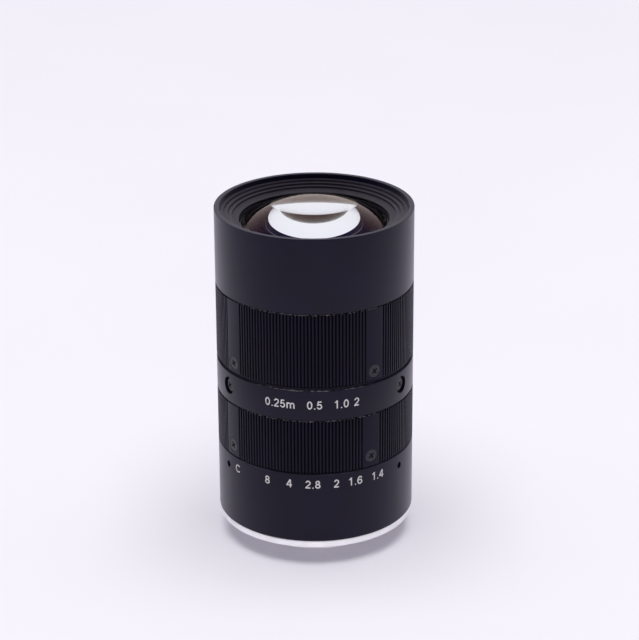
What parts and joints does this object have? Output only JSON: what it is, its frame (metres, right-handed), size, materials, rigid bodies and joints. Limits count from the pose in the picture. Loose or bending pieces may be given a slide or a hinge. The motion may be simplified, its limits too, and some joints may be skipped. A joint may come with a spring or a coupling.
{
  "type": "camera lens",
  "caption": "Fixed focal length camera lens with screw mount, knurled focus and iris rings, iris blades, stepped front bezel and domed front glass.",
  "frame": {"origin": "on the optical axis, at the end face of the mount thread", "axes": "+Z along the optical axis towards the front glass, -Y towards the side with the aperture scale"},
  "size_m": [0.039, 0.039, 0.0697],
  "materials": {
    "bright_mount": "turned, bright plated",
    "black_anodised": "satin black anodised",
    "black_steel": "blackened",
    "cam_brass": "blackened brass",
    "coated_glass": "polished, anti-reflection coated"
  },
  "bodies": {
    "fixed_barrel": {"mount_flange": "bright_mount", "scale_ring": "black_anodised", "scale_ring_grub_screws": "black_steel", "main_barrel": "black_anodised", "middle_ring": "black_anodised", "middle_ring_screws": "black_steel", "guide_screw": "black_steel"},
    "lens_block": {"lens_tube": "black_anodised", "front_barrel": "black_anodised", "front_bezel": "black_anodised", "first_element": "coated_glass", "second_element": "coated_glass", "third_element": "coated_glass", "fourth_element": "coated_glass", "fifth_element": "coated_glass", "sixth_element": "coated_glass", "seventh_element": "coated_glass", "eighth_element": "coated_glass", "front_cell": "black_anodised", "second_spacer": "black_anodised", "third_spacer": "black_anodised", "fourth_spacer": "black_anodised", "fifth_spacer": "black_anodised", "rear_spacer": "black_anodised", "rear_cell": "black_anodised", "rear_cell_lock_ring": "black_anodised", "rear_retaining_ring": "black_anodised", "iris_base": "black_anodised", "iris_retaining_ring": "black_anodised", "focus_ring_keeper": "black_anodised"},
    "focus_ring": {"focus_ring": "black_anodised", "focus_ring_lock_screws": "black_steel"},
    "iris_ring": {"iris_ring": "black_anodised", "iris_ring_lock_screws": "black_steel"},
    "iris_cam": {"iris_cam": "cam_brass", "iris_link_pin": "black_steel"},
    "iris_blade_1": {"iris_blade_1": "black_steel"},
    "iris_blade_2": {"iris_blade_2": "black_steel"},
    "iris_blade_3": {"iris_blade_3": "black_steel"},
    "iris_blade_4": {"iris_blade_4": "black_steel"},
    "iris_blade_5": {"iris_blade_5": "black_steel"},
    "iris_blade_6": {"iris_blade_6": "black_steel"},
    "iris_blade_7": {"iris_blade_7": "black_steel"},
    "iris_blade_8": {"iris_blade_8": "black_steel"}
  },
  "joints": [
    {"name": "focus_turn", "type": "hinge", "parent": "lens_block", "child": "focus_ring", "pos_m": [0, 0, 0.0458], "axis": [0, 0, 1], "range_deg": [0, 165]},
    {"name": "focus_slide", "type": "slide", "parent": "fixed_barrel", "child": "lens_block", "axis": [0, 0, 1], "range_m": [0, 0.00275]},
    {"name": "iris_turn", "type": "hinge", "parent": "fixed_barrel", "child": "iris_ring", "pos_m": [0, 0, 0.0257], "axis": [0, 0, 1], "range_deg": [-85.5, 4.9]},
    {"name": "iris_cam_turn", "type": "hinge", "parent": "lens_block", "child": "iris_cam", "pos_m": [0, 0, 0.0248], "axis": [0, 0, 1], "range_deg": [-86, 5.4]},
    {"name": "iris_blade_1_turn", "type": "hinge", "parent": "lens_block", "child": "iris_blade_1", "pos_m": [0.0132, 0, 0.022], "axis": [0, 0, 1], "range_deg": [-2.1, 32.8]},
    {"name": "iris_blade_2_turn", "type": "hinge", "parent": "lens_block", "child": "iris_blade_2", "pos_m": [0.00933, 0.00933, 0.022], "axis": [0, 0, 1], "range_deg": [-2.1, 32.8]},
    {"name": "iris_blade_3_turn", "type": "hinge", "parent": "lens_block", "child": "iris_blade_3", "pos_m": [0, 0.0132, 0.022], "axis": [0, 0, 1], "range_deg": [-2.1, 32.8]},
    {"name": "iris_blade_4_turn", "type": "hinge", "parent": "lens_block", "child": "iris_blade_4", "pos_m": [-0.00933, 0.00933, 0.022], "axis": [0, 0, 1], "range_deg": [-2.1, 32.8]},
    {"name": "iris_blade_5_turn", "type": "hinge", "parent": "lens_block", "child": "iris_blade_5", "pos_m": [-0.0132, 0, 0.022], "axis": [0, 0, 1], "range_deg": [-2.1, 32.8]},
    {"name": "iris_blade_6_turn", "type": "hinge", "parent": "lens_block", "child": "iris_blade_6", "pos_m": [-0.00933, -0.00933, 0.022], "axis": [0, 0, 1], "range_deg": [-2.1, 32.8]},
    {"name": "iris_blade_7_turn", "type": "hinge", "parent": "lens_block", "child": "iris_blade_7", "pos_m": [0, -0.0132, 0.022], "axis": [0, 0, 1], "range_deg": [-2.1, 32.8]},
    {"name": "iris_blade_8_turn", "type": "hinge", "parent": "lens_block", "child": "iris_blade_8", "pos_m": [0.00933, -0.00933, 0.022], "axis": [0, 0, 1], "range_deg": [-2.1, 32.8]}
  ],
  "couplings": [
    {"joint": "focus_turn", "follows": "focus_slide", "rad_per_m": 1047.2},
    {"joint": "iris_cam_turn", "follows": "iris_turn", "ratio": 1},
    {"joint": "iris_blade_1_turn", "follows": "iris_turn", "ratio": -0.38053},
    {"joint": "iris_blade_2_turn", "follows": "iris_turn", "ratio": -0.38053},
    {"joint": "iris_blade_3_turn", "follows": "iris_turn", "ratio": -0.38053},
    {"joint": "iris_blade_4_turn", "follows": "iris_turn", "ratio": -0.38053},
    {"joint": "iris_blade_5_turn", "follows": "iris_turn", "ratio": -0.38053},
    {"joint": "iris_blade_6_turn", "follows": "iris_turn", "ratio": -0.38053},
    {"joint": "iris_blade_7_turn", "follows": "iris_turn", "ratio": -0.38053},
    {"joint": "iris_blade_8_turn", "follows": "iris_turn", "ratio": -0.38053}
  ]
}
